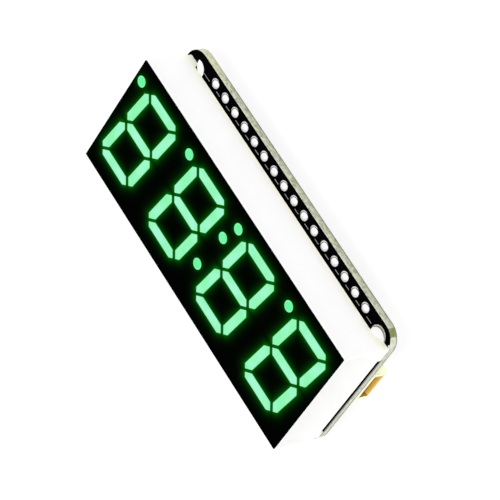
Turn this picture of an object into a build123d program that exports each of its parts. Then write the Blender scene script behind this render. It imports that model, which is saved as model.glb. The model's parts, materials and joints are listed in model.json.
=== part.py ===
from build123d import *

import os
from math import radians, sqrt, tan

# A four-digit clock display soldered on a small carrier board.
# +Z points out of the display face, +X is the reading direction and +Y the top of the digits.
# The origin is on the plane that the two connectors rest on, under the middle of the board.

# Driving dimensions, in millimetres and degrees

# Digits, seen from the front
digit_count = 4
digit_pitch = 12.7
digit_height = 14.2
digit_width = 8.15
digit_slant = 8
digit_drop = 0.32
segment_width = 1.42
segment_gap = 0.5
point_diameter = 1.58
point_offset = 5.66
colon_spacing = 6.48

# Display housing: a white reflector block with a black face layer
stacking_clearance = 0.5
face_margin = 2.4
face_thickness = 0.15
housing_height = 8.0
housing_wall = 1.0
housing_edge_radius = 0.12
well_draft = 3.5
foot_height = 0.8
foot_length = 2.1
lower_foot_width = 2.35
upper_foot_width = 1.3
foot_shoulder_share = 0.9
end_gap_height = 0.5

# Light source behind the wells
die_size = 0.35
die_height = 0.15
led_board_thickness = 1.0
led_board_clearance = 0.1
potting_recess = 0.2
potting_thickness = 1.25

# Display pins, two rows of flat stamped strip
pins_per_row = 6
pin_pitch = 2.54
pin_row_inset = 1.88
pin_width = 0.5
pin_thickness = 0.3
pin_reach = 1.3

# Carrier board, with the display soldered a little towards -X of its middle
display_offset = -0.25
board_ledge = 1.93
board_end_ledge = 0.25
board_thickness = 1.2
board_corner_radius = 2.54
mounting_hole_diameter = 2.7
mounting_hole_inset = 2.54
header_pitch = 2.54
header_inset = 1.27
header_end_margin = 6.35
short_row_missing = 4
header_hole_diameter = 1.02

# Side-entry connectors under the two short ends
connector_width = 5.5
connector_depth = 4.25
connector_height = 2.95
connector_setback = 0.1
connector_offset = -0.75
connector_side_wall = 0.55
connector_base_wall = 0.8
connector_outer_wall = 0.5
connector_rear_wall = 0.9
connector_edge_chamfer = 0.15
contact_count = 4
contact_pitch = 1.0
contact_width = 0.3
contact_thickness = 0.25
contact_tip_inset = 0.7
contact_leg_gap = 0.1
contact_tail = 0.7
tab_length = 1.2
tab_front_inset = 0.9
tab_thickness = 0.2
tab_height = 1.3
tab_foot = 0.7

# Driver chip in the middle of the back
chip_length = 17.9
chip_width = 7.5
chip_rest_clearance = 0.3
chip_standoff = 0.15
chip_draft = 7
chip_mark_diameter = 1.1
chip_mark_depth = 0.1
chip_mark_inset = 1.3
lead_count_per_side = 14
lead_pitch = 1.27
lead_width = 0.41
lead_thickness = 0.25
lead_shoulder = 0.4
lead_splay = 0.2
lead_foot = 0.55

# Small chip parts beside the driver chip
bulk_capacitor_length = 3.2
bulk_capacitor_width = 1.6
bulk_capacitor_height = 1.6
filter_capacitor_length = 2.0
filter_capacitor_width = 1.25
filter_capacitor_height = 0.9
resistor_length = 1.6
resistor_width = 0.8
resistor_height = 0.5
end_cap_share = 0.2
capacitor_spacing = 4.4
resistor_spacing = 2.6

# Derived sizes and heights
housing_length = digit_count * digit_pitch - stacking_clearance
housing_width = digit_height + 2 * face_margin
board_length = housing_length + 2 * board_end_ledge
board_width = housing_width + 2 * board_ledge
board_bottom = connector_height
board_top = board_bottom + board_thickness
rear_edge = board_top + foot_height
face_top = board_top + housing_height
face_rear = face_top - face_thickness
potting_rear = rear_edge + potting_recess
led_board_rear = potting_rear + potting_thickness
led_board_front = led_board_rear + led_board_thickness
well_depth = face_top - led_board_front
recess_length = housing_length - 2 * housing_wall
recess_width = housing_width - 2 * housing_wall
pin_row_y = housing_width / 2 - pin_row_inset
header_y = board_width / 2 - header_inset

seated = (Align.CENTER, Align.CENTER, Align.MIN)
under_board = Pos(0, 0, board_bottom) * Rot(180, 0, 0)


# Helpers for rows and groups, and for blocks that run straight or narrow from one height to another

def block(length, width, low, high):
    return Pos(0, 0, low) * Box(length, width, high - low, align=seated)


def row(count, pitch):
    return [(index - (count - 1) / 2) * pitch for index in range(count)]


def group(pieces):
    return Compound([solid for piece in pieces for solid in piece.solids()])


def drafted(outline, start, end, angle):
    prism = Pos(0, 0, start) * extrude(outline, end - start, dir=(0, 0, 1))
    sides = prism.faces().filter_by(Axis.Z, reverse=True)
    lean = angle if end > start else -angle
    return draft(sides, Plane.XY.offset(start), lean)


# Window outlines: mitred bars of a slanted figure eight, and round dots

def bar_outlines():
    half_width = digit_width / 2
    half_height = digit_height / 2
    half_bar = segment_width / 2
    mitre = segment_gap / sqrt(2)
    inner_x = half_width - segment_width
    inner_y = half_height - segment_width
    upright_x = half_width - half_bar
    tip_x = upright_x + mitre / 2
    level_tip_x = upright_x - mitre / 2
    tip_y = half_height - half_bar - mitre / 2
    level_tip_y = half_height - half_bar + mitre / 2
    top_half = [(inner_x - mitre, inner_y), (level_tip_x, level_tip_y), (inner_x, half_height)]
    middle_half = [(inner_x - mitre, -half_bar), (upright_x - mitre, 0), (inner_x - mitre, half_bar)]
    upright = [
        (inner_x, half_bar + mitre),
        (upright_x, mitre),
        (half_width, half_bar + mitre),
        (half_width, inner_y),
        (tip_x, tip_y),
        (inner_x, inner_y - mitre),
    ]
    top = top_half + [(-x, y) for x, y in reversed(top_half)]
    middle = middle_half + [(-x, y) for x, y in reversed(middle_half)]
    return {"top": top, "middle": middle, "upright": upright}


# Each segment is one of the three bars, mirrored across the digit's two middle lines
segment_bars = {
    "a": ("top", 1, 1),
    "b": ("upright", 1, 1),
    "c": ("upright", 1, -1),
    "d": ("top", 1, -1),
    "e": ("upright", -1, -1),
    "f": ("upright", -1, 1),
    "g": ("middle", 1, 1),
}


def on_face(middle_x, x, y):
    return (middle_x + x + y * tan(radians(digit_slant)), y - digit_drop)


def segment_outline(middle_x, bar, side, end):
    return [on_face(middle_x, side * x, end * y) for x, y in bar_outlines()[bar]]


def middle_of(points):
    return tuple(sum(values) / len(points) for values in zip(*points))


def segment_well(outline):
    return drafted(Polygon(*outline, align=None), face_top, led_board_front, well_draft)


def dot_well(x, y):
    return Pos(x, y, led_board_front) * Cylinder(point_diameter / 2, well_depth, align=seated)


# Light wells: a funnel behind each bar and a straight bore behind each dot, with the die's place

def light_wells():
    wells = {}
    places = {}
    for index, middle_x in enumerate(row(digit_count, digit_pitch)):
        digit = f"digit_{index + 1}"
        for letter, (bar, side, end) in segment_bars.items():
            outline = segment_outline(middle_x, bar, side, end)
            wells[f"{digit}_segment_{letter}"] = segment_well(outline)
            places[f"{digit}_segment_{letter}"] = middle_of(outline)
        point = on_face(middle_x, point_offset, (segment_width - digit_height) / 2)
        wells[f"{digit}_decimal_point"] = dot_well(*point)
        places[f"{digit}_decimal_point"] = point
    for name, end in (("colon_upper_dot", 1), ("colon_lower_dot", -1)):
        dot = on_face(0, 0, end * colon_spacing / 2)
        wells[name] = dot_well(*dot)
        places[name] = dot
    return wells, places


def led_die(place):
    x, y = place
    return Pos(x, y, led_board_front) * Box(die_size, die_size, die_height, align=seated)


# Display pins, from the LED board through the potting and the carrier board

def pin_places():
    return [(x, side * pin_row_y) for side in (-1, 1) for x in row(pins_per_row, pin_pitch)]


def display_pins():
    pin = block(pin_width, pin_thickness, board_bottom - pin_reach, led_board_front)
    return [Pos(x, y, 0) * pin for x, y in pin_places()]


# Display housing: reflector block, four feet with a rounded shoulder, rear recess and light wells

def housing_outline():
    return RectangleRounded(housing_length, housing_width, housing_edge_radius)


def display_housing(wells):
    body = Pos(0, 0, board_top) * extrude(housing_outline(), face_rear - board_top)
    between_feet = housing_length - 2 * foot_length
    body -= block(between_feet, housing_width, board_top, rear_edge)
    shoulders = body.edges().filter_by(Axis.Y).filter_by_position(Axis.Z, board_top, board_top)
    shoulders = shoulders.filter_by_position(Axis.X, -between_feet / 2, between_feet / 2)
    body = fillet(shoulders, foot_height * foot_shoulder_share)
    end_gap_width = housing_width - lower_foot_width - upper_foot_width
    end_gap = block(housing_length, end_gap_width, board_top, board_top + end_gap_height)
    body -= Pos(0, (lower_foot_width - upper_foot_width) / 2, 0) * end_gap
    body -= block(recess_length, recess_width, board_top, led_board_front)
    return body - list(wells)


def face_layer(wells):
    return Pos(0, 0, face_rear) * extrude(housing_outline(), face_thickness) - list(wells)


def led_board(pins):
    length = recess_length - 2 * led_board_clearance
    width = recess_width - 2 * led_board_clearance
    return block(length, width, led_board_rear, led_board_front) - pins


def rear_potting(pins):
    return block(recess_length, recess_width, potting_rear, led_board_rear) - pins


# Carrier board with its two header rows and four mounting holes

def header_places():
    count = round((board_length - 2 * header_end_margin) / header_pitch) + 1
    long_row = row(count, header_pitch)
    short_row = long_row[:count - short_row_missing]
    return [(x, -header_y) for x in long_row] + [(x, header_y) for x in short_row]


def mounting_places():
    x = board_length / 2 - mounting_hole_inset
    y = board_width / 2 - mounting_hole_inset
    return [(side * x, end * y) for side in (-1, 1) for end in (-1, 1)]


def carrier_board(pins):
    outline = RectangleRounded(board_length, board_width, board_corner_radius)
    outline -= [Pos(x, y) * Circle(header_hole_diameter / 2) for x, y in header_places()]
    outline -= [Pos(x, y) * Circle(mounting_hole_diameter / 2) for x, y in mounting_places()]
    return Pos(0, 0, board_bottom) * extrude(outline, board_thickness) - pins


# Side-entry connector, standing on its solder side with the mouth towards -X

def connector_contacts():
    cavity_top = connector_height - connector_outer_wall
    middle = (connector_base_wall + cavity_top) / 2
    low = middle - contact_thickness / 2
    high = middle + contact_thickness / 2
    leg = connector_depth + contact_leg_gap
    profile = Polygon(
        (contact_tip_inset, high),
        (leg + contact_thickness, high),
        (leg + contact_thickness, contact_thickness),
        (leg + contact_tail, contact_thickness),
        (leg + contact_tail, 0),
        (leg, 0),
        (leg, low),
        (contact_tip_inset, low),
        align=None,
    )
    contact = extrude(Plane.XZ * profile, contact_width / 2, both=True)
    return [Pos(0, y, 0) * contact for y in row(contact_count, contact_pitch)]


def connector_tabs():
    wall = connector_width / 2
    profile = Polygon(
        (wall, tab_height),
        (wall + tab_thickness, tab_height),
        (wall + tab_thickness, tab_thickness),
        (wall + tab_foot, tab_thickness),
        (wall + tab_foot, 0),
        (wall, 0),
        align=None,
    )
    tab = extrude(Plane.YZ * profile, tab_length / 2, both=True)
    tab = Pos(tab_front_inset + tab_length / 2, 0, 0) * tab
    return [tab, mirror(tab, Plane.XZ)]


def connector_body(contacts):
    body = Pos(connector_depth / 2, 0, 0) * Box(connector_depth, connector_width, connector_height, align=seated)
    upper_edges = body.edges().filter_by_position(Axis.Z, connector_height, connector_height)
    body = chamfer(upper_edges, connector_edge_chamfer)
    cavity_depth = connector_depth - connector_rear_wall
    cavity_width = connector_width - 2 * connector_side_wall
    cavity = block(cavity_depth, cavity_width, connector_base_wall, connector_height - connector_outer_wall)
    body -= Pos(cavity_depth / 2, 0, 0) * cavity
    return body - contacts


def connector(side):
    contacts = connector_contacts()
    turn = 0 if side == "left" else 180
    mouth = Pos(connector_setback - board_length / 2, 0, 0)
    place = Pos(0, connector_offset, 0) * Rot(0, 0, turn) * under_board * mouth
    return {
        f"{side}_connector_body": place * connector_body(contacts),
        f"{side}_connector_contacts": group([place * piece for piece in contacts]),
        f"{side}_connector_tabs": group([place * piece for piece in connector_tabs()]),
    }


# Driver chip, standing on its leads

chip_top = connector_height - chip_rest_clearance
chip_middle = (chip_top + chip_standoff) / 2


def driver_chip_body():
    outline = Rectangle(chip_length, chip_width)
    body = drafted(outline, chip_middle, chip_top, chip_draft)
    body += drafted(outline, chip_middle, chip_standoff, chip_draft)
    mark_x = chip_mark_inset - chip_length / 2
    mark_y = chip_mark_inset - chip_width / 2
    mark = Pos(mark_x, mark_y, chip_top) * Cylinder(chip_mark_diameter / 2, 2 * chip_mark_depth)
    return under_board * (body - mark)


def driver_chip_leads():
    wall = chip_width / 2
    knee = wall + lead_shoulder
    heel = knee + lead_splay
    high = chip_middle + lead_thickness / 2
    low = chip_middle - lead_thickness / 2
    profile = Polygon(
        (wall, high),
        (knee + lead_thickness, high),
        (heel + lead_thickness, lead_thickness),
        (heel + lead_thickness + lead_foot, lead_thickness),
        (heel + lead_thickness + lead_foot, 0),
        (heel, 0),
        (knee, low),
        (wall, low),
        align=None,
    )
    lead = extrude(Plane.YZ * profile, lead_width / 2, both=True)
    side = [Pos(x, 0, 0) * lead for x in row(lead_count_per_side, lead_pitch)]
    return [under_board * Rot(0, 0, turn) * piece for turn in (0, 180) for piece in side]


# Chip parts: a ceramic middle between two metal end caps, in the bays beside the driver chip

def chip_part(length, width, height, place):
    cap = length * end_cap_share
    middle = under_board * place * Box(length - 2 * cap, width, height, align=seated)
    ends = [
        under_board * place * Pos(side * (length - cap) / 2, 0, 0) * Box(cap, width, height, align=seated)
        for side in (-1, 1)
    ]
    return middle, ends


def chip_parts():
    connector_inner_x = board_length / 2 - connector_setback - connector_depth - contact_tail
    bay_x = (chip_length / 2 + connector_inner_x) / 2
    bulk, bulk_ends = chip_part(
        bulk_capacitor_length, bulk_capacitor_width, bulk_capacitor_height,
        Pos(-bay_x, capacitor_spacing / 2, 0),
    )
    small, small_ends = chip_part(
        filter_capacitor_length, filter_capacitor_width, filter_capacitor_height,
        Pos(-bay_x, -capacitor_spacing / 2, 0),
    )
    resistors = [
        chip_part(resistor_length, resistor_width, resistor_height, Pos(bay_x, y, 0))
        for y in row(2, resistor_spacing)
    ]
    ends = bulk_ends + small_ends + [end for body, pair in resistors for end in pair]
    return {
        "bulk_capacitor": bulk,
        "filter_capacitor": small,
        "pull_up_resistors": group([body for body, pair in resistors]),
        "chip_part_end_caps": group(ends),
    }


# Assembly: one named shape per piece, or per group of identical pieces

def display():
    wells, places = light_wells()
    dies = {name: led_die(place) for name, place in places.items()}
    pins = display_pins()
    shapes = {
        "display_housing": display_housing(wells.values()),
        "face_layer": face_layer(wells.values()),
        "led_dies": group(dies.values()),
        "led_board": led_board(pins),
        "rear_potting": rear_potting(pins),
        "display_pins": group(pins),
    }
    shapes.update({name: well - dies[name] for name, well in wells.items()})
    return {name: Pos(display_offset, 0, 0) * shape for name, shape in shapes.items()}


def assemble():
    shapes = display()
    shapes["carrier_board"] = carrier_board(shapes["display_pins"].solids())
    shapes["driver_chip_body"] = driver_chip_body()
    shapes["driver_chip_leads"] = group(driver_chip_leads())
    shapes.update(connector("left"))
    shapes.update(connector("right"))
    shapes.update(chip_parts())
    return shapes


os.makedirs("parts", exist_ok=True)
for node, shape in assemble().items():
    export_step(shape, f"parts/{node}.step")
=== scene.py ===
# %% [markdown]
# A clock display of four lit digits, soldered on a small black carrier board.
# The solid pieces come in at their real size and place. This lesson gives them their finishes,
# adds the thin metal and print that lie on the board, and sets up the light and the camera.

# %% Load the solids
import json
from math import cos, pi, radians, sin, tau

import bmesh
import bpy
from mathutils import Matrix, Quaternion, Vector


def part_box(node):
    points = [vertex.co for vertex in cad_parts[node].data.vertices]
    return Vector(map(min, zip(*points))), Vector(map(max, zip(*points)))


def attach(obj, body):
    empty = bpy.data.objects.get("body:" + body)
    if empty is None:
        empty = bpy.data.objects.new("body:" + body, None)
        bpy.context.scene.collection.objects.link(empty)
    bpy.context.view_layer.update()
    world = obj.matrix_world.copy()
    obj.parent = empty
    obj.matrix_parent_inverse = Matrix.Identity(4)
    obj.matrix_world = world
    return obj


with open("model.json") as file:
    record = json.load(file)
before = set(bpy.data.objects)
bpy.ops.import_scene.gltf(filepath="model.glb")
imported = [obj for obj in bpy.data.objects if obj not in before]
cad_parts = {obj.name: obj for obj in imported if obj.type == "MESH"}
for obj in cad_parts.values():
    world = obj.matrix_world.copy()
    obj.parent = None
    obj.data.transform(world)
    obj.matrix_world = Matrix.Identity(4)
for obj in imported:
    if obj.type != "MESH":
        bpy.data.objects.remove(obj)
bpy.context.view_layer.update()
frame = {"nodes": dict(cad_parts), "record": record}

mm = 0.001
nodes = frame["nodes"]
mounts = {mount["name"]: mount for mount in frame["record"]["mounts"]}
print(len(nodes), "solid pieces, mounts:", ", ".join(mounts))

# %% [markdown]
# The camera is a long lens that looks down on the near short end and is rolled well past a quarter turn,
# as for a tilted product picture. A target point, two angles, a distance and a roll are easier to read
# and adjust than a matrix, so the place is worked out from those.

# %% Camera
scene = bpy.context.scene
camera_target = Vector((-1.411, -0.569, 6.054)) * mm
camera_azimuth = radians(31.995)
camera_elevation = radians(41.378)
camera_distance = 362.416 * mm
camera_roll = radians(-100.769)
camera_lens = 199.4
camera_clip = 10 * mm

towards_camera = Vector((
    -cos(camera_elevation) * sin(camera_azimuth),
    -cos(camera_elevation) * cos(camera_azimuth),
    sin(camera_elevation),
))
camera = bpy.data.objects.new("camera", bpy.data.cameras.new("camera"))
camera.data.lens = camera_lens
camera.data.clip_start = camera_clip
camera.location = camera_target + camera_distance * towards_camera
aim = towards_camera.to_track_quat("Z", "Y") @ Quaternion((0, 0, 1), camera_roll)
camera.rotation_mode = "QUATERNION"
camera.rotation_quaternion = aim
scene.collection.objects.link(camera)
scene.camera = camera
scene.view_settings.view_transform = "Standard"
print("camera at", [round(value / mm, 1) for value in camera.location], "mm")

# %% [markdown]
# Every finish below is a small graph of shader nodes, and a few helpers keep those graphs readable.
# The first fills an input with a number or a link, and the second makes a node with its inputs filled.
# The rest name what is done most: a sum, a blend of two colours, a soft ramp between two limits, and the
# place and facing of a point.

# %% Helpers for shader nodes
def fill(tree, socket, value):
    if isinstance(value, bpy.types.NodeSocket):
        tree.links.new(value, socket)
    else:
        socket.default_value = value


def add(tree, kind, values, **settings):
    node = tree.nodes.new(kind)
    for key, value in settings.items():
        setattr(node, key, value)
    for key, value in values.items():
        fill(tree, node.inputs[key], value)
    return node


def calc(tree, operation, *values):
    return add(tree, "ShaderNodeMath", dict(enumerate(values)), operation=operation).outputs[0]


def blend(tree, share, first, second):
    node = add(tree, "ShaderNodeMix", {0: share}, data_type="RGBA")
    colors = [socket for socket in node.inputs if socket.type == "RGBA"]
    fill(tree, colors[0], first)
    fill(tree, colors[1], second)
    return [socket for socket in node.outputs if socket.type == "RGBA"][0]


def ramp(tree, value, low, high):
    limits = {"Value": value, "From Min": low, "From Max": high}
    return add(tree, "ShaderNodeMapRange", limits, interpolation_type="SMOOTHSTEP").outputs[0]


def split(tree, vector):
    return add(tree, "ShaderNodeSeparateXYZ", {0: vector}).outputs


def surface_place(tree):
    return tree.nodes.new("ShaderNodeTexCoord").outputs["Object"]


def normal_along(tree, axis):
    return split(tree, tree.nodes.new("ShaderNodeNewGeometry").outputs["Normal"])[axis]


def facing(tree, axis):
    return calc(tree, "ABSOLUTE", normal_along(tree, axis))


print("shader helpers ready")

# %% [markdown]
# A group is a graph that several finishes share, with named inputs and outputs. A finish is a material:
# its plain numbers are set straight on the shader, and what changes over the surface is wired in after.

# %% Helpers for groups and finishes
flat_number = "NodeSocketFloat"
flat_vector = "NodeSocketVector"


def new_group(name, inputs, outputs):
    tree = bpy.data.node_groups.new(name, "ShaderNodeTree")
    for label, kind in inputs.items():
        tree.interface.new_socket(label, in_out="INPUT", socket_type=kind)
    for label, kind in outputs.items():
        tree.interface.new_socket(label, in_out="OUTPUT", socket_type=kind)
    return tree, tree.nodes.new("NodeGroupInput").outputs


def use_group(tree, group, values):
    return add(tree, "ShaderNodeGroup", values, node_tree=group).outputs


def new_finish(name, plain):
    material = bpy.data.materials.new(name)
    material.use_nodes = True
    shader = material.node_tree.nodes["Principled BSDF"]
    for key, value in plain.items():
        shader.inputs[key].default_value = value
    return material, material.node_tree, shader.inputs


def wire(tree, sockets, **links):
    for key, value in links.items():
        tree.links.new(value, sockets[key.replace("_", " ").title()])


print("group and finish helpers ready")

# %% [markdown]
# The floor is a wide pale sheet. The camera, and the metal that mirrors it, see it as white with the
# object's own soft shadow kept. All other light bounces off it as off plain white card.

# %% Floor
floor_half_size = 2.0
floor_depth = 0.02 * mm
floor_glow = 0.88
floor_seen = (0.2, 0.2, 0.2, 1)
floor_card = (0.82, 0.82, 0.82, 1)


def seen_directly(tree):
    path = tree.nodes.new("ShaderNodeLightPath").outputs
    seen = calc(tree, "MAXIMUM", path["Is Camera Ray"], path["Is Glossy Ray"])
    return calc(tree, "MAXIMUM", seen, path["Is Transmission Ray"])


def floor_finish():
    material = bpy.data.materials.new("floor")
    material.use_nodes = True
    tree = material.node_tree
    tree.nodes.remove(tree.nodes["Principled BSDF"])
    card = add(tree, "ShaderNodeBsdfDiffuse", {"Color": floor_card}).outputs[0]
    soft = add(tree, "ShaderNodeBsdfDiffuse", {"Color": floor_seen}).outputs[0]
    glow = add(tree, "ShaderNodeEmission", {"Strength": floor_glow}).outputs[0]
    lit = add(tree, "ShaderNodeAddShader", {0: soft, 1: glow}).outputs[0]
    choice = add(tree, "ShaderNodeMixShader", {0: seen_directly(tree), 1: card, 2: lit}).outputs[0]
    tree.links.new(choice, tree.nodes["Material Output"].inputs["Surface"])
    return material


def make_floor():
    mesh = bpy.data.meshes.new("floor")
    bm = bmesh.new()
    bmesh.ops.create_grid(bm, x_segments=1, y_segments=1, size=floor_half_size)
    bmesh.ops.translate(bm, verts=bm.verts, vec=(0, 0, -floor_depth))
    bm.to_mesh(mesh)
    bm.free()
    mesh.materials.append(floor_finish())
    floor = bpy.data.objects.new("floor", mesh)
    scene.collection.objects.link(floor)
    return floor


print("floor", make_floor().name)

# %% [markdown]
# Studio light: a dim white sky, a soft box overhead and one low soft box facing each of the four walls.
# Low boxes light a wall evenly right down to the black board, where light from the floor is missing.
# The box at the long wall is a little cool and the one at the near end a little warm, which is what
# keeps two white walls apart from each other. The table gives each box its place and width in metres,
# its power in watts and its colour.

# %% Light
sky_strength = 0.24
soft_boxes = {
    "long_wall_box": ((-0.05, -0.8, 0.13), 0.36, 3.43, (0.99, 0.985, 1.0)),
    "near_end_box": ((-0.8, 0.02, 0.26), 0.36, 3.1, (1.0, 0.998, 0.965)),
    "far_wall_box": ((0.05, 0.8, 0.19), 0.36, 2.7, (1.0, 1.0, 1.0)),
    "far_end_box": ((0.8, -0.02, 0.19), 0.36, 2.7, (1.0, 1.0, 1.0)),
    "top_box": ((-0.1, -0.15, 0.85), 0.6, 2.8, (1.0, 1.0, 1.0)),
}


def make_sky():
    world = bpy.data.worlds.new("sky")
    world.use_nodes = True
    tree = world.node_tree
    sky = tree.nodes["Background"]
    gap = 1 - sky_strength
    level = calc(tree, "MULTIPLY_ADD", seen_directly(tree), gap, sky_strength)
    tree.links.new(level, sky.inputs["Strength"])
    sky.inputs["Color"].default_value = (1, 1, 1, 1)
    scene.world = world


def make_soft_box(name, place, width, power, color):
    lamp = bpy.data.lights.new(name, "AREA")
    lamp.shape = "DISK"
    lamp.size = width
    lamp.energy = power
    lamp.color = color
    box = bpy.data.objects.new(name, lamp)
    box.location = place
    box.rotation_euler = Vector(place).to_track_quat("Z", "Y").to_euler()
    scene.collection.objects.link(box)


make_sky()
for name, (place, width, power, color) in soft_boxes.items():
    make_soft_box(name, place, width, power, color)
print("sky at", sky_strength, "and", len(soft_boxes), "soft boxes")

# %% [markdown]
# Light leaks a little way into the black face around each lit window, and each window has another tint
# at its rim than in its middle. Both need the distance from a point to the nearest window, so the sizes
# of the windows come first. They are measured on the solid windows, with the slant of the digits undone.

# %% Sizes of the lit windows
def middle(node):
    low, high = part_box(node)
    return (low + high) / 2


digit_middle = middle("digit_1_segment_g")
digit_pitch = middle("digit_2_segment_g").x - digit_middle.x
level_offset = middle("digit_1_segment_a") - digit_middle
digit_slant = level_offset.x / level_offset.y
upright_offset = middle("digit_1_segment_b") - digit_middle
upright_x = upright_offset.x - digit_slant * upright_offset.y
bar_low, bar_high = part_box("digit_1_segment_g")
half_bar = (bar_high.y - bar_low.y) / 2
middle_reach = (bar_high.x - bar_low.x) / 2 - half_bar
level_low, level_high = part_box("digit_1_segment_a")
level_reach = (level_high.x - level_low.x) / 2 - half_bar
upright_low, upright_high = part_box("digit_1_segment_b")
upright_reach = (upright_high.y - upright_low.y) / 2 - half_bar
point_offset = middle("digit_1_decimal_point") - digit_middle
point_x = point_offset.x - digit_slant * point_offset.y
dot_low, dot_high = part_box("colon_upper_dot")
dot_radius = (dot_high.y - dot_low.y) / 2
colon_offset = middle("colon_upper_dot") - digit_middle
colon_x = digit_middle.x + colon_offset.x - digit_slant * colon_offset.y
print("digit pitch", round(digit_pitch / mm, 2), "mm, slant", round(digit_slant, 4))

# %% [markdown]
# Drawing 34 windows one by one would be a huge graph, so the plan is folded: all digits onto one digit,
# and that digit's four quarters onto one. Three bars and two kinds of dot are then enough.

# %% Distance to the nearest window
def length_of(tree, x, y):
    squares = [calc(tree, "MULTIPLY", value, value) for value in (x, y)]
    return calc(tree, "SQRT", calc(tree, "ADD", *squares))


def beyond(tree, value, reach):
    return calc(tree, "MAXIMUM", calc(tree, "SUBTRACT", value, reach), 0.0)


def away(tree, value, line):
    return calc(tree, "ABSOLUTE", calc(tree, "SUBTRACT", value, line))


def fold(tree, value, start, pitch):
    turned = calc(tree, "WRAP", calc(tree, "SUBTRACT", value, start - pitch / 2), pitch, 0.0)
    return calc(tree, "SUBTRACT", turned, pitch / 2)


def window_distance_group():
    distances = {"Bar Distance": flat_number, "Dot Distance": flat_number}
    tree, given = new_group("window_distance", {"Place": flat_vector}, distances)
    place = split(tree, given["Place"])
    up = calc(tree, "SUBTRACT", place["Y"], digit_middle.y)
    along = calc(tree, "SUBTRACT", place["X"], calc(tree, "MULTIPLY", up, digit_slant))
    digit_x = calc(tree, "ABSOLUTE", fold(tree, along, digit_middle.x, digit_pitch))
    digit_y = calc(tree, "ABSOLUTE", up)
    upright_y = away(tree, digit_y, upright_offset.y)
    bars = [
        length_of(tree, beyond(tree, digit_x, level_reach), away(tree, digit_y, level_offset.y)),
        length_of(tree, away(tree, digit_x, upright_x), beyond(tree, upright_y, upright_reach)),
        length_of(tree, beyond(tree, digit_x, middle_reach), digit_y),
    ]
    nearest_bar = calc(tree, "MINIMUM", calc(tree, "MINIMUM", bars[0], bars[1]), bars[2])
    point_along = fold(tree, along, digit_middle.x + point_x, digit_pitch)
    point = length_of(tree, point_along, calc(tree, "SUBTRACT", up, point_offset.y))
    colon_along = calc(tree, "SUBTRACT", along, colon_x)
    colon = length_of(tree, colon_along, away(tree, digit_y, colon_offset.y))
    dot = calc(tree, "SUBTRACT", calc(tree, "MINIMUM", point, colon), dot_radius)
    bar = calc(tree, "SUBTRACT", nearest_bar, half_bar)
    add(tree, "NodeGroupOutput", {"Bar Distance": bar, "Dot Distance": dot})
    return tree


window_distance = window_distance_group()
print("window distance group:", len(window_distance.nodes), "nodes")

# %% [markdown]
# Plastic, resin, ink, tin and solder mask are never quite even. One shared group makes noise at a grain
# size that each finish chooses: fine noise, put out as a height, and broad noise, put out as a tone.
# A finish takes its bump, its colour or its roughness from either, as it needs.

# %% Fine grain
fine_detail = 3.0
broad_detail = 2.0
broad_scale_share = 0.04
grain_depth = 0.004 * mm


def noise(tree, place, scale, detail):
    values = {"Vector": place, "Scale": scale, "Detail": detail}
    return add(tree, "ShaderNodeTexNoise", values).outputs[0]


def fine_grain_group():
    tree, given = new_group(
        "fine_grain",
        {"Place": flat_vector, "Grain Size": flat_number},
        {"Height": flat_number, "Tone": flat_number},
    )
    scale = calc(tree, "DIVIDE", 1.0, given["Grain Size"])
    height = noise(tree, given["Place"], scale, fine_detail)
    broad_scale = calc(tree, "MULTIPLY", scale, broad_scale_share)
    tone = noise(tree, given["Place"], broad_scale, broad_detail)
    add(tree, "NodeGroupOutput", {"Height": height, "Tone": tone})
    return tree


fine_grain = fine_grain_group()


def grain_of(tree, place, size):
    return use_group(tree, fine_grain, {"Place": place, "Grain Size": size})


def bumped(tree, height, strength):
    values = {"Height": height, "Distance": grain_depth, "Strength": strength}
    return add(tree, "ShaderNodeBump", values).outputs[0]


print("fine grain group:", len(fine_grain.nodes), "nodes")

# %% [markdown]
# The housing is white moulded plastic. Its walls are painted a shade whiter towards the rear than at the
# rim
# of the face: painted light, for the floor light that the black board keeps off the lower wall. Along the
# rear edge and on the feet they are a little cream, most on the faces that look to the long sides. Heights
# in the piece's own coordinates make both fades.

# %% Housing finish
front_white = (0.908, 0.908, 0.912, 1)
rear_painted_light_white = (0.978, 0.978, 0.978, 1)
housing_cream = (0.98, 0.983, 0.86, 1)
cream_rise = 1.6 * mm
cream_drop = 0.2 * mm
housing_grain = 0.12 * mm
housing_rough_limits = (-0.9, 2.2)
moulded_bump = 0.5
resin_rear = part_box("rear_potting")[0].z
wall_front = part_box("display_housing")[1].z


def housing_finish():
    material, tree, sockets = new_finish("housing_plastic", {"Specular IOR Level": 0.4})
    place = surface_place(tree)
    grain = grain_of(tree, place, housing_grain)
    height = split(tree, place)["Z"]
    # Painted light: the wall is whiter towards the rear, where the board keeps floor light off it.
    body = blend(tree, ramp(tree, height, resin_rear, wall_front), rear_painted_light_white, front_white)
    cream = ramp(tree, height, resin_rear + cream_rise, resin_rear - cream_drop)
    cream = calc(tree, "MULTIPLY", cream, facing(tree, "Y"))
    wire(
        tree, sockets,
        base_color=blend(tree, cream, body, housing_cream),
        roughness=ramp(tree, grain["Tone"], *housing_rough_limits),
        normal=bumped(tree, grain["Height"], moulded_bump),
    )
    return material


housing_plastic = housing_finish()
print("finish", housing_plastic.name)

# %% [markdown]
# The face is a thin coat of matt black ink. Light that leaks through its window edges makes a dark green
# halo that is gone within about a millimetre, so the ink gets an emission that falls off with distance.
# The small dots leak less light than the bars.

# %% Face finish
ink_black = (0.0004, 0.0005, 0.0004, 1)
ink_worn = (0.0008, 0.0009, 0.0008, 1)
no_glow = (0, 0, 0, 1)
halo_color = (0.004, 1.0, 0.012, 1)
halo_level = 0.108
halo_reach = 0.31 * mm
wide_halo_level = 0.007
wide_halo_reach = 0.85 * mm
dot_halo_share = 0.4
matt_and_lit = {"Specular IOR Level": 0.0, "Emission Strength": 1.0}


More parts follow.
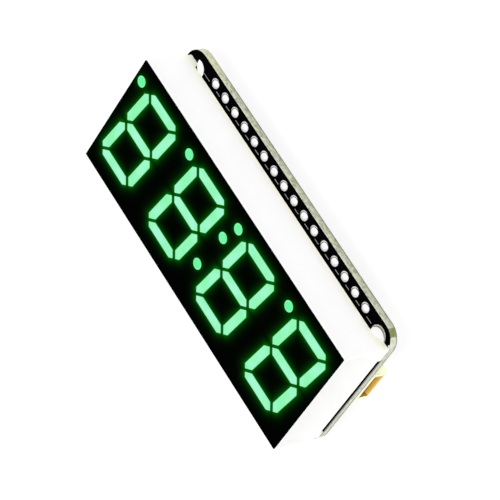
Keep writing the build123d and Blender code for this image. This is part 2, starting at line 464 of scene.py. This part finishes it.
def fall_off(tree, distance, level, reach):
    outside = calc(tree, "MAXIMUM", distance, 0.0)
    power = calc(tree, "EXPONENT", calc(tree, "MULTIPLY", outside, -1 / reach))
    return calc(tree, "MULTIPLY", power, level)


def halo_around(tree, distance):
    near = fall_off(tree, distance, halo_level, halo_reach)
    return calc(tree, "ADD", near, fall_off(tree, distance, wide_halo_level, wide_halo_reach))


def face_finish():
    material, tree, sockets = new_finish("face_ink", matt_and_lit)
    place = surface_place(tree)
    grain = grain_of(tree, place, housing_grain)
    distances = use_group(tree, window_distance, {"Place": place})
    dot_halo = calc(tree, "MULTIPLY", halo_around(tree, distances["Dot Distance"]), dot_halo_share)
    halo = calc(tree, "ADD", halo_around(tree, distances["Bar Distance"]), dot_halo)
    wire(
        tree, sockets,
        base_color=blend(tree, grain["Tone"], ink_black, ink_worn),
        emission_color=blend(tree, halo, no_glow, halo_color),
    )
    return material


face_ink = face_finish()
print("finish", face_ink.name)

# %% [markdown]
# Each window is milky resin lit from behind. The level bars look palest, the uprights a little greener and
# the dots greenest, and the tint wanders a little along each bar. The bars' rims are deeper in colour than
# their middles, and the dots' rims paler. One function makes all three kinds from a cool tint, a warm tint
# and a rim tint.

# %% Window finishes
window_tints = {
    "level": ((0.35, 0.84, 0.60, 1), (0.265, 0.82, 0.45, 1), (0.20, 0.78, 0.35, 1)),
    "upright": ((0.315, 0.84, 0.54, 1), (0.24, 0.82, 0.40, 1), (0.185, 0.78, 0.32, 1)),
    "dot": ((0.135, 0.83, 0.35, 1), (0.115, 0.82, 0.29, 1), (0.25, 0.88, 0.43, 1)),
}
resin_color = (0.036, 0.115, 0.058, 1)
resin_shade = (0.043, 0.13, 0.065, 1)
resin_grain = 0.1 * mm
rim_width = 0.2 * mm
rim_spill = 0.05 * mm
wander_limits = (0.36, 0.64)


def window_finish(kind):
    cool, warm, rim_tint = window_tints[kind]
    material, tree, sockets = new_finish(f"{kind}_window_resin", matt_and_lit)
    place = surface_place(tree)
    grain = grain_of(tree, place, resin_grain)
    wanted = "Dot Distance" if kind == "dot" else "Bar Distance"
    distance = use_group(tree, window_distance, {"Place": place})[wanted]
    rim = ramp(tree, distance, -rim_width, rim_spill)
    lit = blend(tree, ramp(tree, grain["Tone"], *wander_limits), cool, warm)
    wire(
        tree, sockets,
        base_color=blend(tree, grain["Tone"], resin_color, resin_shade),
        emission_color=blend(tree, rim, lit, rim_tint),
    )
    return material


window_resin = {kind: window_finish(kind) for kind in window_tints}
print("finishes", ", ".join(material.name for material in window_resin.values()))

# %% [markdown]
# The carrier board is glass laminate with a black solder mask on both faces. It is bored for two rows of
# header pins along its long sides and for a screw near each corner. The places of the holes come from the
# mounts that the model states.

# %% Board sizes
board_low, board_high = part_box("carrier_board")
bolt_dims = mounts["mounting_holes"]["dims"]
bolt_x = bolt_dims["spacing_x_mm"] * mm / 2
bolt_y = bolt_dims["spacing_y_mm"] * mm / 2
bolt_radius = bolt_dims["hole_r_mm"] * mm
long_row = mounts["long_header_row"]
short_row = mounts["short_header_row"]
header_pitch = long_row["dims"]["spacing_x_mm"] * mm
header_radius = long_row["dims"]["hole_r_mm"] * mm
header_y = abs(long_row["pos_m"][1])


def row_places(mount):
    pitch = mount["dims"]["spacing_x_mm"] * mm
    count = mount["dims"]["count"]
    first = mount["pos_m"][0] - (count - 1) * pitch / 2
    return [(first + index * pitch, mount["pos_m"][1]) for index in range(count)]


print("header rows of", len(row_places(long_row)), "and", len(row_places(short_row)), "holes")

# %% [markdown]
# The sawn edge shows the pale laminate, streaked along its layers. Its long sides are flecked with olive,
# grow darker towards the bottom and have a thin pale line under the mask, a painted highlight on the top
# rim.
# Its ends are paler, and shaded dark along the top between the housing's feet. Noise that is squeezed in
# height makes the streaks.

# %% Layers of the sawn edge
highlight_and_chip_pale = (0.68, 0.70, 0.60, 1)
laminate_warm = (0.62, 0.65, 0.47, 1)
laminate_pale = (0.47, 0.50, 0.385, 1)
laminate_dark = (0.35, 0.36, 0.29, 1)
fleck_olive = (0.28, 0.30, 0.19, 1)
end_pale = (0.70, 0.73, 0.61, 1)
end_dark = (0.50, 0.54, 0.44, 1)
end_shadow = (0.10, 0.10, 0.095, 1)
streak_stretch = (1500.0, 1500.0, 4200.0)
streak_limits = (0.42, 0.60)
fleck_scale = 2300.0
fleck_limits = (0.49, 0.68)
highlight_line = 0.13 * mm
upper_layer = 0.3 * mm
end_shadow_depth = 0.55 * mm
lower_foot_width = 2.35 * mm
upper_foot_width = 1.3 * mm
housing_low, housing_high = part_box("display_housing")
gap_start = housing_low.y + lower_foot_width
gap_end = housing_high.y - upper_foot_width


def within(tree, value, low, high):
    above = calc(tree, "GREATER_THAN", value, low)
    return calc(tree, "MULTIPLY", above, calc(tree, "LESS_THAN", value, high))


def edge_streaks(tree, place):
    stretch = {0: place, 1: streak_stretch}
    stretched = add(tree, "ShaderNodeVectorMath", stretch, operation="MULTIPLY").outputs[0]
    return ramp(tree, noise(tree, stretched, 1.0, fine_detail), *streak_limits)


def long_side(tree, place, z, streaks):
    upper = blend(tree, streaks, laminate_warm, laminate_pale)
    # Painted highlight: a thin pale line along the top rim of the long sides.
    upper = blend(tree, calc(tree, "GREATER_THAN", z, board_high.z - highlight_line), upper, highlight_and_chip_pale)
    lower = blend(tree, streaks, laminate_pale, laminate_dark)
    side = blend(tree, ramp(tree, z, board_high.z - upper_layer, board_low.z), upper, lower)
    flecks = ramp(tree, noise(tree, place, fleck_scale, fine_detail), *fleck_limits)
    return blend(tree, flecks, side, fleck_olive)


def short_side(tree, y, z, streaks):
    side = blend(tree, streaks, end_pale, end_dark)
    shadow = ramp(tree, z, board_high.z - end_shadow_depth, board_high.z)
    shadow = calc(tree, "MULTIPLY", shadow, within(tree, y, gap_start, gap_end))
    return blend(tree, shadow, side, end_shadow)


print("sawn edge", round((board_high.z - board_low.z) / mm, 2), "mm high")

# %% [markdown]
# Marks are laid over these layers one after the other. A thin dark line of mask shows at the top of the
# ends past the gap and of the far long side. An olive patch lies at one rounded corner. A mottled dark seam
# runs along the bottom, and the far end is yellower. Last, the walls of the mounting holes at the far end
# are painted mask black, a painted shade.

# %% Marks on the sawn edge
mask_black_and_hole_shade = (0.0010, 0.0010, 0.0012, 1)
laminate_yellow = (0.72, 0.72, 0.46, 1)
patch_olive = (0.27, 0.31, 0.13, 1)
patch_brown = (0.19, 0.21, 0.09, 1)
seam_dark = (0.06, 0.06, 0.047, 1)
seam_grey = (0.22, 0.22, 0.18, 1)
yellow_share = 0.45
yellow_reach = 9.5 * mm
full_yellow_reach = 3.5 * mm
patch_inset = 0.87 * mm
patch_length = 1.1 * mm
patch_depth = 1.4 * mm
seam_height = 0.27 * mm
end_line = 0.15 * mm
hole_shade_margin = 0.15 * mm


def end_mask_line(tree, y, z):
    past_gap = calc(tree, "GREATER_THAN", y, gap_end)
    return calc(tree, "MULTIPLY", past_gap, calc(tree, "GREATER_THAN", z, board_high.z - end_line))


def corner_patch(tree, x, y):
    start = board_low.x + patch_inset
    at_corner = calc(tree, "LESS_THAN", y, board_low.y + patch_depth)
    return calc(tree, "MULTIPLY", at_corner, within(tree, x, start, start + patch_length))


def far_end_tint(tree, x):
    tint = ramp(tree, x, board_high.x - yellow_reach, board_high.x - full_yellow_reach)
    return calc(tree, "MULTIPLY", tint, yellow_share)


def far_hole_painted_shade(tree, x, y):
    across = away(tree, calc(tree, "ABSOLUTE", y), bolt_y)
    reach = length_of(tree, calc(tree, "SUBTRACT", x, bolt_x), across)
    return calc(tree, "LESS_THAN", reach, bolt_radius + hole_shade_margin)


def sawn_edge(tree, place):
    x, y, z = split(tree, place)
    streaks = edge_streaks(tree, place)
    long_color = long_side(tree, place, z, streaks)
    edge = blend(tree, facing(tree, "X"), long_color, short_side(tree, y, z, streaks))
    edge = blend(tree, end_mask_line(tree, y, z), edge, seam_dark)
    edge = blend(tree, corner_patch(tree, x, y), edge, blend(tree, streaks, patch_olive, patch_brown))
    seam = blend(tree, streaks, seam_dark, seam_grey)
    edge = blend(tree, ramp(tree, z, board_low.z + seam_height, board_low.z), edge, seam)
    edge = blend(tree, far_end_tint(tree, x), edge, laminate_yellow)
    # Painted shade: the walls of the far mounting holes are painted black.
    return blend(tree, far_hole_painted_shade(tree, x, y), edge, mask_black_and_hole_shade)


print("tab patch", round(patch_length / mm, 2), "mm long")

# %% [markdown]
# The mask is black on the front and a little greyer on the back. At the near end its openings sit off
# centre from the mounting holes, which bares a grey sliver with a pale rim. A chip of the mask is missing
# at the near corner. A face counts as level where the upright part of its normal is over a half.

# %% Board finish
back_mask = (0.007, 0.007, 0.0085, 1)
sliver_grey = (0.26, 0.25, 0.20, 1)
sliver_pale = (0.58, 0.57, 0.50, 1)
sliver_rim = 0.12 * mm
opening_shift = Vector((0, -0.42)) * mm
chip_inset = Vector((0.2, 1.65)) * mm
chip_place = board_low.xy + chip_inset
chip_radius = 0.28 * mm
level_share = 0.5
mask_rough_limits = (-0.9, 1.9)


def mask_openings(tree, x, y, mask):
    along = calc(tree, "ADD", x, bolt_x - opening_shift.x)
    across = calc(tree, "ABSOLUTE", calc(tree, "SUBTRACT", y, opening_shift.y))
    reach = length_of(tree, along, away(tree, across, bolt_y))
    at_rim = calc(tree, "GREATER_THAN", reach, bolt_radius - sliver_rim)
    bare = blend(tree, at_rim, sliver_grey, sliver_pale)
    return blend(tree, calc(tree, "LESS_THAN", reach, bolt_radius), mask, bare)


def mask_chip(tree, x, y, up):
    along = calc(tree, "SUBTRACT", x, chip_place.x)
    across = calc(tree, "SUBTRACT", y, chip_place.y)
    near = calc(tree, "LESS_THAN", length_of(tree, along, across), chip_radius)
    return calc(tree, "MULTIPLY", near, calc(tree, "GREATER_THAN", up, level_share))


def board_faces(tree, place):
    x, y = split(tree, place)[:2]
    up = normal_along(tree, "Z")
    mask = blend(tree, calc(tree, "LESS_THAN", up, -level_share), mask_black_and_hole_shade, back_mask)
    return blend(tree, mask_chip(tree, x, y, up), mask_openings(tree, x, y, mask), highlight_and_chip_pale)


def board_finish():
    material, tree, sockets = new_finish("board_laminate", {"Specular IOR Level": 0.004})
    place = surface_place(tree)
    grain = grain_of(tree, place, housing_grain)
    level = calc(tree, "GREATER_THAN", facing(tree, "Z"), level_share)
    wire(
        tree, sockets,
        base_color=blend(tree, level, sawn_edge(tree, place), board_faces(tree, place)),
        roughness=ramp(tree, grain["Tone"], *mask_rough_limits),
        normal=bumped(tree, grain["Height"], moulded_bump),
    )
    return material


board_laminate = board_finish()
print("finish", board_laminate.name)

# %% [markdown]
# Tinned metal covers the pads, pins, leads and contacts. Hot tin sets with a slightly uneven skin, so its
# roughness and tone wander a little. On the header lands it has set matt and white, and only the barrels of
# the holes mirror. To one side of each land the colour goes to a dark line and then a grey sliver.

# %% Metal finish
tin_bright = (0.99, 0.99, 0.985, 1)
tin_dull = (0.97, 0.97, 0.965, 1)
crescent_grey = (0.74, 0.74, 0.72, 1)
crescent_line = (0.05, 0.05, 0.048, 1)
crescent_line_width = 0.1 * mm
matt_tin_share = 0.12
tin_grain = 0.25 * mm
tin_tone_limits = (0.3, 0.75)
tin_rough_limits = (-0.1, 3.0)
tin_bump = 0.2
crescent_shift = Vector((-0.21, 0.17)) * mm
tin_feather = 0.03 * mm
pad_radius = 0.72 * mm


def past_ring(tree, reach, radius):
    return ramp(tree, reach, radius - tin_feather, radius + tin_feather)


def land_crescent(tree, place, tone):
    x, y = split(tree, place)[:2]
    row_y = calc(tree, "MULTIPLY", calc(tree, "SIGN", y), header_y)
    along = fold(tree, x, row_places(long_row)[0][0] + crescent_shift.x, header_pitch)
    across = calc(tree, "SUBTRACT", calc(tree, "SUBTRACT", y, row_y), crescent_shift.y)
    reach = length_of(tree, along, across)
    bare = blend(tree, past_ring(tree, reach, pad_radius + crescent_line_width), crescent_line, crescent_grey)
    return blend(tree, past_ring(tree, reach, pad_radius), tone, bare)


def metal_finish(name, on_header_pads):
    material, tree, sockets = new_finish(name, {"Metallic": 1.0})
    place = surface_place(tree)
    grain = grain_of(tree, place, tin_grain)
    tone = blend(tree, ramp(tree, grain["Height"], *tin_tone_limits), tin_bright, tin_dull)
    if on_header_pads:
        levelness = facing(tree, "Z")
        on_land = calc(tree, "GREATER_THAN", levelness, level_share)
        tone = blend(tree, on_land, tone, land_crescent(tree, place, tone))
        steepness = calc(tree, "SUBTRACT", 1.0, levelness)
        wire(tree, sockets, metallic=calc(tree, "MAXIMUM", steepness, matt_tin_share))
    wire(
        tree, sockets,
        base_color=tone,
        roughness=ramp(tree, grain["Height"], *tin_rough_limits),
        normal=bumped(tree, grain["Height"], tin_bump),
    )
    return material


tinned_metal = metal_finish("tinned_metal", on_header_pads=False)
plated_tin = metal_finish("plated_tin", on_header_pads=True)
print("finishes", tinned_metal.name, plated_tin.name)

# %% [markdown]
# The connectors are cream nylon. The mouth gets painted light and shade: from a pale lip through amber, for
# light that bounces between its walls, to brown painted shade with depth, and its side walls get an olive
# painted shade. A painted glow of emission lifts the sides and the mouth, for light that soaks through the
# nylon. The thickness of the walls and the mouth's half width tell which points lie inside it.

# %% Connector finish
nylon_cream = (0.98, 0.98, 0.78, 1)
nylon_shade = (0.97, 0.97, 0.74, 1)
mouth_pale = (1.0, 0.88, 0.40, 1)
mouth_bounce_amber = (1.0, 0.65, 0.10, 1)
mouth_shade_brown = (0.26, 0.15, 0.02, 1)
mouth_side_shade = (0.42, 0.30, 0.04, 1)
mouth_painted_glow = (0.11, 0.055, 0.005, 1)
side_painted_glow = (0.16, 0.18, 0.06, 1)
nylon_rough_limits = (-0.9, 2.0)
amber_depth = 0.45 * mm
brown_start = 0.54 * mm
brown_depth = 0.82 * mm
mouth_half_width = 2.21 * mm
floor_wall = 0.49 * mm
roof_wall = 0.79 * mm
back_wall = 0.88 * mm
lip_inset = 0.02 * mm
connector_low, connector_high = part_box("right_connector_body")
mouth_middle = (connector_low.y + connector_high.y) / 2


def inside_mouth(tree, x, y, z):
    end_x = calc(tree, "ABSOLUTE", x)
    deep = within(tree, end_x, connector_low.x + back_wall, connector_high.x - lip_inset)
    wide = calc(tree, "LESS_THAN", away(tree, y, mouth_middle), mouth_half_width)
    high = within(tree, z, connector_low.z + floor_wall, connector_high.z - roof_wall)
    return calc(tree, "MULTIPLY", calc(tree, "MULTIPLY", deep, wide), high)


def painted_mouth_shading(tree, x, side_facing):
    depth = calc(tree, "SUBTRACT", connector_high.x, calc(tree, "ABSOLUTE", x))
    color = blend(tree, ramp(tree, depth, 0.0, amber_depth), mouth_pale, mouth_bounce_amber)
    color = blend(tree, ramp(tree, depth, brown_start, brown_depth), color, mouth_shade_brown)
    return blend(tree, side_facing, color, mouth_side_shade)


def connector_finish():
    plain = {"Specular IOR Level": 0.3, "Emission Strength": 1.0}
    material, tree, sockets = new_finish("connector_nylon", plain)
    place = surface_place(tree)
    x, y, z = split(tree, place)
    inside = inside_mouth(tree, x, y, z)
    grain = grain_of(tree, place, housing_grain)
    outside = blend(tree, grain["Tone"], nylon_cream, nylon_shade)
    side_facing = facing(tree, "Y")
    # Painted light and shade: the glows and the mouth's colours stand in for light through the nylon,
    # bounced light and shade with depth.
    outer_glow = blend(tree, side_facing, no_glow, side_painted_glow)
    inner_glow = blend(tree, side_facing, mouth_painted_glow, no_glow)
    wire(
        tree, sockets,
        base_color=blend(tree, inside, outside, painted_mouth_shading(tree, x, side_facing)),
        emission_color=blend(tree, inside, outer_glow, inner_glow),
        roughness=ramp(tree, grain["Tone"], *nylon_rough_limits),
        normal=bumped(tree, grain["Height"], moulded_bump),
    )
    return material


connector_nylon = connector_finish()
print("finish", connector_nylon.name)

# %% [markdown]
# The small parts on the back and inside share one recipe of two near tones and a grain: black epoxy on the
# chip, tan ceramic on the capacitors, dark glaze on the resistors, and resin, laminate and crystal inside
# the display. The table gives each its two tones, its grain size and its shine.

# %% Finishes of the small parts
speckled_tones = {
    "chip_epoxy": ((0.020, 0.020, 0.021, 1), (0.030, 0.030, 0.031, 1), 0.16 * mm, 0.3),
    "capacitor_ceramic": ((0.42, 0.29, 0.18, 1), (0.36, 0.24, 0.14, 1), 0.1 * mm, 0.4),
    "resistor_glaze": ((0.012, 0.012, 0.014, 1), (0.022, 0.022, 0.025, 1), 0.2 * mm, 0.5),
    "potting_resin": ((0.82, 0.82, 0.74, 1), (0.78, 0.78, 0.68, 1), 0.3 * mm, 0.5),
    "led_laminate": ((0.70, 0.68, 0.46, 1), (0.60, 0.58, 0.38, 1), 0.2 * mm, 0.3),
    "die_crystal": ((0.75, 0.78, 0.35, 1), (0.68, 0.72, 0.28, 1), 0.05 * mm, 0.5),
}
speckle_limits = (0.35, 0.7)
speckled_rough_limits = (-1.0, 1.8)
speckled_bump = 0.6


def speckled_finish(name):
    first, second, grain_size, shine = speckled_tones[name]
    material, tree, sockets = new_finish(name, {"Specular IOR Level": shine})
    grain = grain_of(tree, surface_place(tree), grain_size)
    wire(
        tree, sockets,
        base_color=blend(tree, ramp(tree, grain["Height"], *speckle_limits), first, second),
        roughness=ramp(tree, grain["Tone"], *speckled_rough_limits),
        normal=bumped(tree, grain["Height"], speckled_bump),
    )
    return material


speckled = {name: speckled_finish(name) for name in speckled_tones}
print("finishes", ", ".join(speckled))

# %% [markdown]
# The record lists every solid piece with a material slot, and one table turns a slot into a finish.
# All windows share one slot, so a window's name tells whether it is a level bar, an upright or a dot.

# %% Dress the solid pieces
slot_finishes = {
    "housing_white": housing_plastic,
    "face_black": face_ink,
    "die_crystal": speckled["die_crystal"],
    "led_laminate": speckled["led_laminate"],
    "potting_resin": speckled["potting_resin"],
    "tinned_metal": tinned_metal,
    "board_black": board_laminate,
    "connector_cream": connector_nylon,
    "chip_black": speckled["chip_epoxy"],
    "capacitor_tan": speckled["capacitor_ceramic"],
    "resistor_black": speckled["resistor_glaze"],
}
level_segments = ("segment_a", "segment_d", "segment_g")


def window_kind(name):
    if name.endswith(level_segments):
        return "level"
    return "upright" if "segment_" in name else "dot"


for subpart in frame["record"]["subparts"]:
    name = subpart["node"]
    finish = slot_finishes.get(subpart["material_slot"]) or window_resin[window_kind(name)]
    nodes[name].data.materials.clear()
    nodes[name].data.materials.append(finish)

# %% [markdown]
# New pieces start as a few vertices in a bmesh. A helper turns the finished bmesh into an object that
# rides with the model, another spins an outline about an upright line, and a third makes a thin plate.

# %% Helpers for new pieces
weld_distance = 0.0005 * mm


def finish_piece(name, bm, material):
    bmesh.ops.remove_doubles(bm, verts=bm.verts, dist=weld_distance)
    bmesh.ops.recalc_face_normals(bm, faces=bm.faces)
    mesh = bpy.data.meshes.new(name)
    bm.to_mesh(mesh)
    bm.free()
    mesh.materials.append(material)
    piece = bpy.data.objects.new(name, mesh)
    scene.collection.objects.link(piece)
    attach(piece, "root")
    print(name, "has", len(mesh.polygons), "faces")


def spin_outline(bm, outline, place, steps, closed):
    x, y = place
    verts = [bm.verts.new((x + radius, y, height)) for radius, height in outline]
    ends = zip(verts, verts[1:] + verts[:1]) if closed else zip(verts, verts[1:])
    edges = [bm.edges.new(pair) for pair in ends]
    bmesh.ops.spin(
        bm, geom=verts + edges, cent=(x, y, 0), axis=(0, 0, 1), angle=tau, steps=steps, use_merge=True
    )


def thin_plate(bm, low, high):
    size = Vector(high) - Vector(low)
    place = Matrix.Translation((Vector(high) + Vector(low)) / 2) @ Matrix.Diagonal((*size, 1))
    bmesh.ops.create_cube(bm, size=1, matrix=place)


print("piece helpers ready")

# %% [markdown]
# Each header hole is plated: a metal barrel through the board with a round land on each face, and hot tin
# stands on it as a low dome. One closed outline, from the land's rim over the dome and down the barrel, is
# spun about each hole. The mounting holes at the near end have a plain metal sleeve.

# %% Plated holes
plating = 0.035 * mm
dome_height = 0.01 * mm
dome_points = 5
hole_steps = 32


def dome(side, face):
    inner = header_radius - plating
    points = []
    for index in range(dome_points + 1):
        turn = pi * index / dome_points
        radius = (pad_radius + inner) / 2 + cos(turn) * (pad_radius - inner) / 2
        points.append((radius, face + side * dome_height * sin(turn)))
    return points


def plated_holes(name, places):
    outline = dome(1, board_high.z) + dome(-1, board_low.z)[::-1]
    outline += [(header_radius, board_low.z), (header_radius, board_high.z)]
    bm = bmesh.new()
    for place in places:
        spin_outline(bm, outline, place, hole_steps, closed=True)
    finish_piece(name, bm, plated_tin)


def bolt_sleeves():
    inner = bolt_radius - plating
    outline = [
        (inner, board_low.z),
        (bolt_radius, board_low.z),
        (bolt_radius, board_high.z),
        (inner, board_high.z),
    ]
    bm = bmesh.new()
    for side in (-1, 1):
        spin_outline(bm, outline, (-bolt_x, side * bolt_y), hole_steps, closed=True)
    finish_piece("mounting_hole_sleeves", bm, tinned_metal)


bolt_sleeves()
plated_holes("long_row_plating", row_places(long_row))
plated_holes("short_row_plating", row_places(short_row))

# %% [markdown]
# On the back, each display pin stands in a small cone of solder with a hollow flank. An arc from the pad's
# rim to the pin makes that flank, and the cone is spun from it.

# %% Solder joints of the display pins
pins_per_row = 6
pin_width = 0.5 * mm
pin_thickness = 0.3 * mm
joint_radius = 0.8 * mm
joint_neck = 0.24 * mm
joint_height = 0.85 * mm
joint_points = 7
pin_low, pin_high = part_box("display_pins")


def pin_places():
    first = pin_low.x + pin_width / 2
    pitch = (pin_high.x - pin_low.x - pin_width) / (pins_per_row - 1)
    rows = (pin_low.y + pin_thickness / 2, pin_high.y - pin_thickness / 2)
    return [(first + index * pitch, y) for y in rows for index in range(pins_per_row)]


def solder_joints():
    outline = [(0, board_low.z), (joint_radius, board_low.z)]
    for index in range(joint_points + 1):
        turn = pi / 2 * index / joint_points
        radius = joint_radius - (joint_radius - joint_neck) * sin(turn)
        outline.append((radius, board_low.z - joint_height * (1 - cos(turn)) - plating))
    outline.append((0, board_low.z - joint_height - plating))
    bm = bmesh.new()
    for place in pin_places():
        spin_outline(bm, outline, place, hole_steps, closed=False)
    finish_piece("pin_solder_joints", bm, tinned_metal)


solder_joints()

# %% [markdown]
# Every foot that is soldered flat on the back stands on a tinned land a little larger than itself. A node
# can hold many separate feet, so its mesh is walked from corner to corner to find each one.

# %% Solder lands of the parts on the back
soldered_nodes = [
    "driver_chip_leads",
    "left_connector_contacts",
    "right_connector_contacts",
    "left_connector_tabs",
    "right_connector_tabs",
    "chip_part_end_caps",
]
land_height = 0.03 * mm
land_margin = Vector((0.1, 0.1, 0)) * mm


def separate_solids(bm):
    seen = set()
    solids = []
    for start in bm.verts:
        if start in seen:
            continue
        seen.add(start)
        solid = [start]
        for vert in solid:
            near = [edge.other_vert(vert) for edge in vert.link_edges]
            fresh = [other for other in near if other not in seen]
            seen.update(fresh)
            solid.extend(fresh)
        solids.append(solid)
    return solids


def foot_boxes(node):
    bm = bmesh.new()
    bm.from_mesh(nodes[node].data)
    bmesh.ops.remove_doubles(bm, verts=bm.verts, dist=weld_distance)
    boxes = []
    for solid in separate_solids(bm):
        foot = [vert.co.copy() for vert in solid if vert.co.z > board_low.z - weld_distance]
        low = [min(values) for values in zip(*foot)]
        high = [max(values) for values in zip(*foot)]
        boxes.append((Vector(low), Vector(high)))
    bm.free()
    return boxes


def solder_lands():
    bm = bmesh.new()
    for node in soldered_nodes:
        for low, high in foot_boxes(node):
            low.z = board_low.z - land_height
            high.z = board_low.z
            thin_plate(bm, low - land_margin, high + land_margin)
    finish_piece("solder_lands", bm, tinned_metal)


solder_lands()

# %% [markdown]
# Short white dashes are printed between the header holes, with a longer one at each end towards the
# mounting holes. They are thin plates of ink, so they keep a crisp edge at any distance.

# %% Printed dashes
ink_pale = (0.66, 0.67, 0.69, 1)
ink_thin = (0.46, 0.47, 0.49, 1)
ink_rough_limits = (-0.9, 1.6)
ink_height = 0.012 * mm
dash_width = 0.08 * mm
dash_length = 0.88 * mm
far_dash_length = 1.72 * mm
far_dash_shift = 1.85 * mm
near_dash_length = 1.15 * mm
near_dash_shift = 1.5 * mm
dash_inset = 0.68 * mm


def ink_finish():
    material, tree, sockets = new_finish("printed_ink", {"Specular IOR Level": 0.2})
    grain = grain_of(tree, surface_place(tree), tin_grain)
    wire(
        tree, sockets,
        base_color=blend(tree, grain["Height"], ink_pale, ink_thin),
        roughness=ramp(tree, grain["Tone"], *ink_rough_limits),
    )
    return material


def printed_dashes():
    holes = row_places(long_row)
    y = holes[0][1] + dash_inset
    dashes = [((hole[0] + following[0]) / 2, dash_length) for hole, following in zip(holes, holes[1:])]
    dashes.append((holes[0][0] - near_dash_shift, near_dash_length))
    dashes.append((holes[-1][0] + far_dash_shift, far_dash_length))
    bm = bmesh.new()
    for x, length in dashes:
        low = (x - length / 2, y - dash_width / 2, board_high.z)
        high = (x + length / 2, y + dash_width / 2, board_high.z + ink_height)
        thin_plate(bm, low, high)
    finish_piece("printed_dashes", bm, ink_finish())


printed_dashes()
